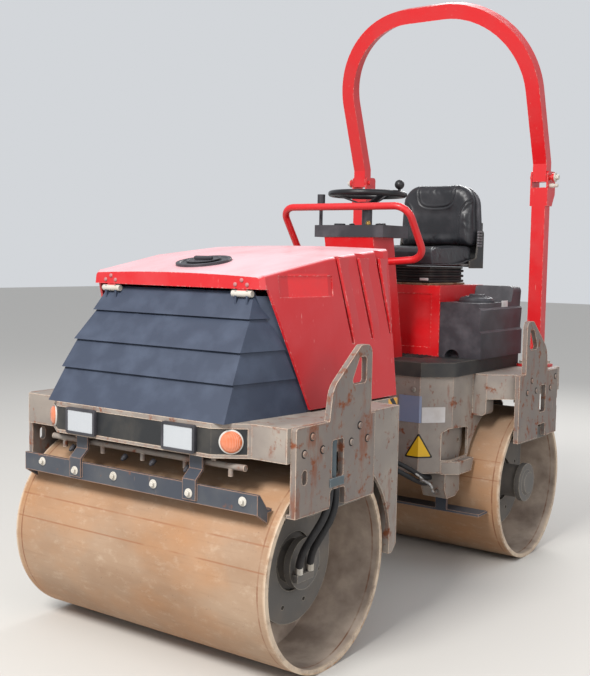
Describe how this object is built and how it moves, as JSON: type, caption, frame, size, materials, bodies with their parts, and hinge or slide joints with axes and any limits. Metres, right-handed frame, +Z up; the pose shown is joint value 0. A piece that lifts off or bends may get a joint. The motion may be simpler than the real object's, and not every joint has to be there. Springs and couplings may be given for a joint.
{
  "type": "tandem road roller",
  "caption": "Articulated tandem road roller with two smooth steel drums, tilting hood, open operator's seat and a folding roll bar.",
  "frame": {"origin": "on the ground under the steering pivot, halfway between the drums", "axes": "+Z up; the machine faces -Y; +X is the machine's left side"},
  "size_m": [1.284, 2.481, 2.684],
  "materials": {
    "machine_grey": "weathered warm grey paint with rust at the edges",
    "drum_steel": "rust-orange rolled steel, worn smooth",
    "drum_grey": "grey paint, dusty",
    "red_paint": "bright red gloss paint",
    "hood_red": "red paint, faded pink on top",
    "grille_plastic": "slate grey moulded plastic",
    "black_plastic": "black moulded plastic",
    "black_paint": "black paint, worn",
    "dark_steel": "dark blue-grey steel",
    "bare_steel": "polished rod",
    "lamp_glass": "clear lens",
    "orange_lens": "orange lens",
    "red_lens": "red lens",
    "seat_vinyl": "black vinyl",
    "cast_engine": "painted casting",
    "wheel_black": "black moulded rim"
  },
  "bodies": {
    "rear_frame": {"backrest_bracket": "machine_grey", "console": "red_paint", "floor_tray": "black_paint", "hand_rail": "red_paint", "instrument_panel": "black_plastic", "left_rear_lamp": "red_lens", "left_roll_bar_post": "red_paint", "left_tank": "black_plastic", "rear_frame": "machine_grey", "rear_inner_scraper": "dark_steel", "rear_left_carrier": "drum_grey", "rear_left_side_plate": "machine_grey", "rear_outer_scraper": "dark_steel", "rear_right_carrier": "drum_grey", "rear_right_side_plate": "machine_grey", "rear_spray_pipe": "machine_grey", "right_rear_lamp": "red_lens", "right_roll_bar_post": "red_paint", "right_tank": "black_plastic", "seat_backrest": "seat_vinyl", "seat_box": "red_paint", "seat_cushion": "seat_vinyl", "seat_suspension": "black_plastic", "steering_column": "black_plastic", "tank_cap": "black_plastic", "travel_lever": "black_plastic"},
    "front_frame": {"front_frame": "machine_grey", "front_left_side_plate": "machine_grey", "front_right_side_plate": "machine_grey", "front_left_carrier": "drum_grey", "front_right_carrier": "drum_grey", "lamp_bar": "black_paint", "left_headlamp": "lamp_glass", "right_headlamp": "lamp_glass", "left_indicator": "orange_lens", "right_indicator": "orange_lens", "grille": "grille_plastic", "engine_block": "cast_engine", "front_outer_scraper": "dark_steel", "front_inner_scraper": "dark_steel", "front_spray_pipe": "machine_grey"},
    "front_drum": {"front_drum": "drum_steel"},
    "rear_drum": {"rear_drum": "drum_steel"},
    "hood": {"hood": "hood_red", "hood_cap": "black_plastic"},
    "articulation_link": {"articulation_link": "machine_grey"},
    "roll_bar_hoop": {"roll_bar_hoop": "red_paint"},
    "steering_wheel": {"steering_wheel": "wheel_black"},
    "steering_cylinder": {"steering_cylinder": "black_paint"},
    "steering_rod": {"steering_rod": "bare_steel"}
  },
  "joints": [
    {"name": "oscillation", "type": "hinge", "parent": "rear_frame", "child": "articulation_link", "pos_m": [0, 0.2, 0.46], "axis": [0, 1, 0], "range_deg": [-8, 8]},
    {"name": "steer", "type": "hinge", "parent": "articulation_link", "child": "front_frame", "pos_m": [0, 0, 0.46], "axis": [0, 0, 1], "range_deg": [-30, 30]},
    {"name": "front_drum_roll", "type": "hinge", "parent": "front_frame", "child": "front_drum", "pos_m": [0, -0.875, 0.36], "axis": [1, 0, 0], "continuous": true},
    {"name": "rear_drum_roll", "type": "hinge", "parent": "rear_frame", "child": "rear_drum", "pos_m": [0, 0.875, 0.36], "axis": [1, 0, 0], "continuous": true},
    {"name": "hood_tilt", "type": "hinge", "parent": "front_frame", "child": "hood", "pos_m": [0, -1.012, 1.3], "axis": [1, 0, 0], "range_deg": [0, 60]},
    {"name": "roll_bar_fold", "type": "hinge", "parent": "rear_frame", "child": "roll_bar_hoop", "pos_m": [0, 1.08, 1.84], "axis": [-1, 0, 0], "range_deg": [0, 110]},
    {"name": "steering_wheel_turn", "type": "hinge", "parent": "rear_frame", "child": "steering_wheel", "pos_m": [0, 0.296, 1.7], "axis": [0, 0, 1], "continuous": true},
    {"name": "cylinder_swing", "type": "hinge", "parent": "front_frame", "child": "steering_cylinder", "pos_m": [0.26, -0.43, 0.4], "axis": [0, 0, 1], "range_deg": [-1.04, 1.04]},
    {"name": "cylinder_stroke", "type": "slide", "parent": "steering_cylinder", "child": "steering_rod", "axis": [-0.1961, 0.9806, 0], "range_m": [-0.086, 0.086]}
  ],
  "couplings": [
    {"joint": "cylinder_swing", "follows": "steer", "ratio": -0.0331},
    {"joint": "cylinder_stroke", "follows": "steer", "m_per_rad": -0.1633}
  ]
}
